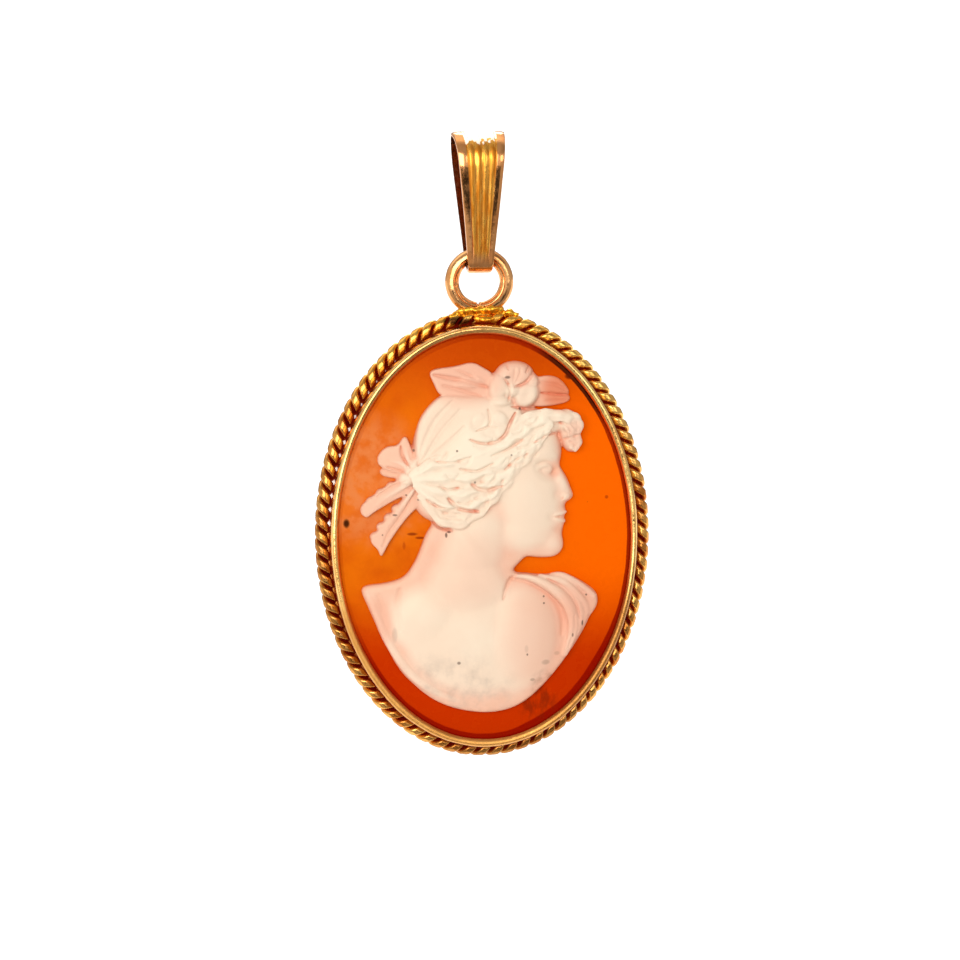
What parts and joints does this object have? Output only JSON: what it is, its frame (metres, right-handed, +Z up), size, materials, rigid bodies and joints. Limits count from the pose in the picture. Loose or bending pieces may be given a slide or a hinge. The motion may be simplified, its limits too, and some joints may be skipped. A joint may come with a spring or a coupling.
{
  "type": "oval shell cameo pendant",
  "caption": "Oval carved shell cameo in a gold collar with a twisted wire border, hanging by a soldered ring from a tapered, ribbed bail.",
  "frame": {"origin": "inside top of the bail, where a chain carries the pendant", "axes": "+Z up along the hanging pendant, -Y out of the carved face, +X to the right seen from the front"},
  "size_m": [0.0202, 0.0059, 0.038],
  "materials": {
    "bail_gold": "polished",
    "frame_gold": "satin",
    "orange_shell": "polished",
    "white_shell": "satin"
  },
  "bodies": {
    "bail": {"bail": "bail_gold"},
    "drop": {"frame": "frame_gold", "shell_ground": "orange_shell", "shell_relief": "white_shell"}
  },
  "joints": [
    {"name": "drop_swing", "type": "hinge", "parent": "bail", "child": "drop", "pos_m": [0, 0, -0.0072], "axis": [1, 0, 0], "range_deg": [-120, 120]}
  ]
}
